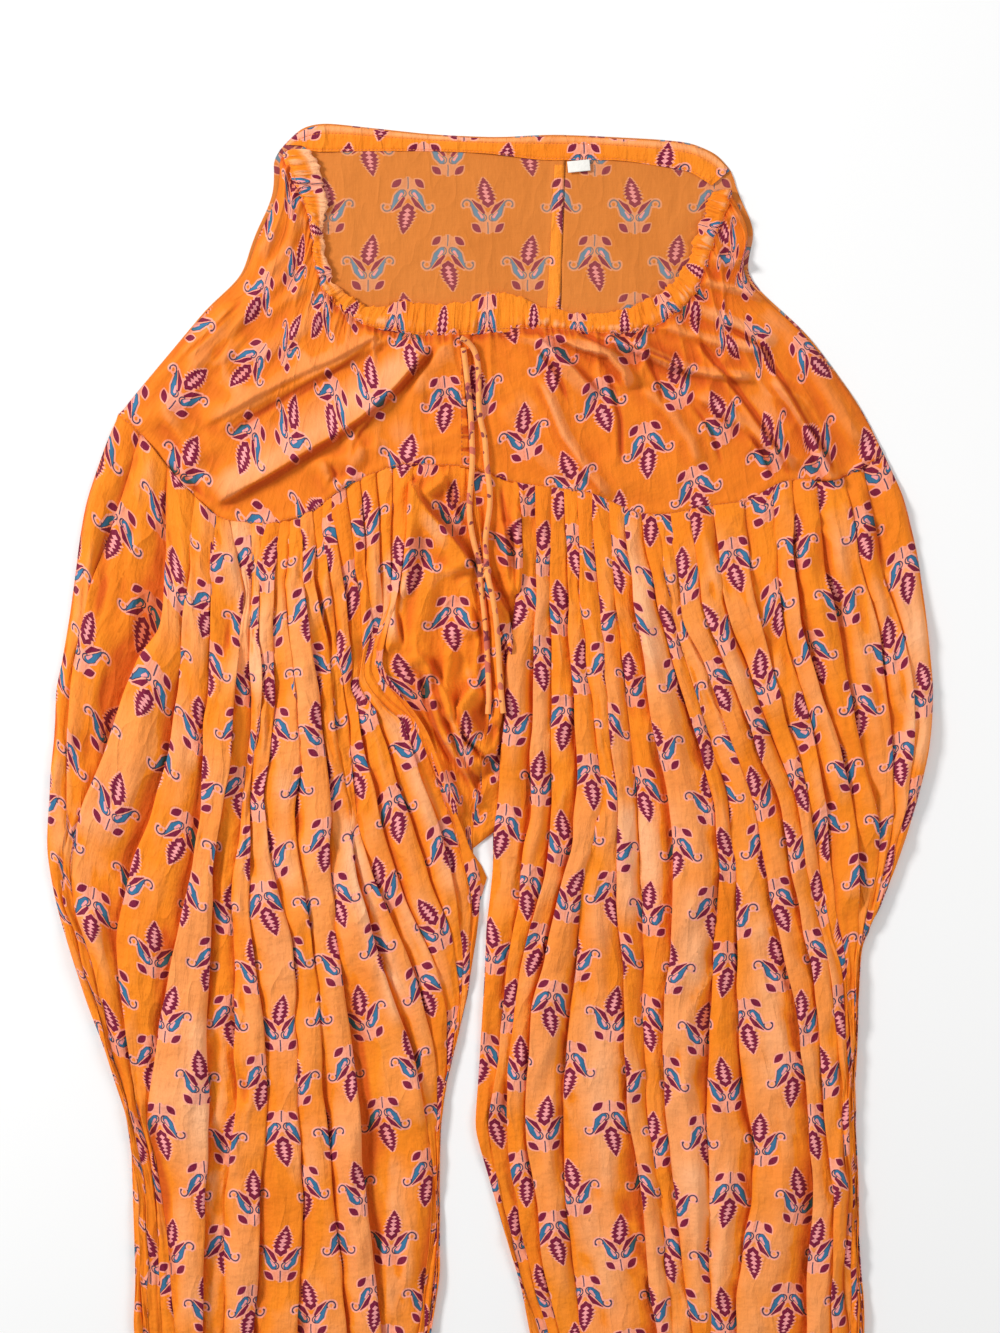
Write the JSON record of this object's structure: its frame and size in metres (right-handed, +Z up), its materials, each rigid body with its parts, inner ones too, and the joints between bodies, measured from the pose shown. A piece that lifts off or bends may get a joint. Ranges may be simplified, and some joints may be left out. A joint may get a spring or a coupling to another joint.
{
  "type": "patiala salwar",
  "caption": "Wide pleated salwar trousers of block-printed cotton, laid flat on a surface, with a fitted belt and a gathered drawstring waist.",
  "frame": {"origin": "on the surface that the garment lies on, under the middle of its outline", "axes": "+Y from the ankles to the waist, +X to the right as seen from above the front, +Z up from the surface"},
  "size_m": [0.711, 1.1068, 0.0159],
  "materials": {
    "printed_cotton": "plain-weave cotton, orange with a maroon, blue and pink leaf print",
    "printed_cotton_inside": "wrong side of the same cotton, duller, the print showing through",
    "string_cotton": "narrow tube of the same cotton",
    "tag_tape": "blank white woven tape"
  },
  "bodies": {
    "root": {"yoke_front_left": "printed_cotton", "yoke_front_right": "printed_cotton", "yoke_back_left": "printed_cotton_inside", "yoke_back_right": "printed_cotton_inside", "casing_front": "printed_cotton", "casing_back": "printed_cotton", "leg_front_left": "printed_cotton", "leg_front_right": "printed_cotton", "leg_back_left": "printed_cotton", "leg_back_right": "printed_cotton", "gore_front_left": "printed_cotton", "gore_front_right": "printed_cotton", "gore_back_left": "printed_cotton", "gore_back_right": "printed_cotton", "cuff_left": "printed_cotton", "cuff_right": "printed_cotton", "string_left": "string_cotton", "string_right": "string_cotton", "string_tail_left": "string_cotton", "string_tail_right": "string_cotton", "string_knot": "string_cotton", "size_tag": "tag_tape"}
  },
  "joints": []
}
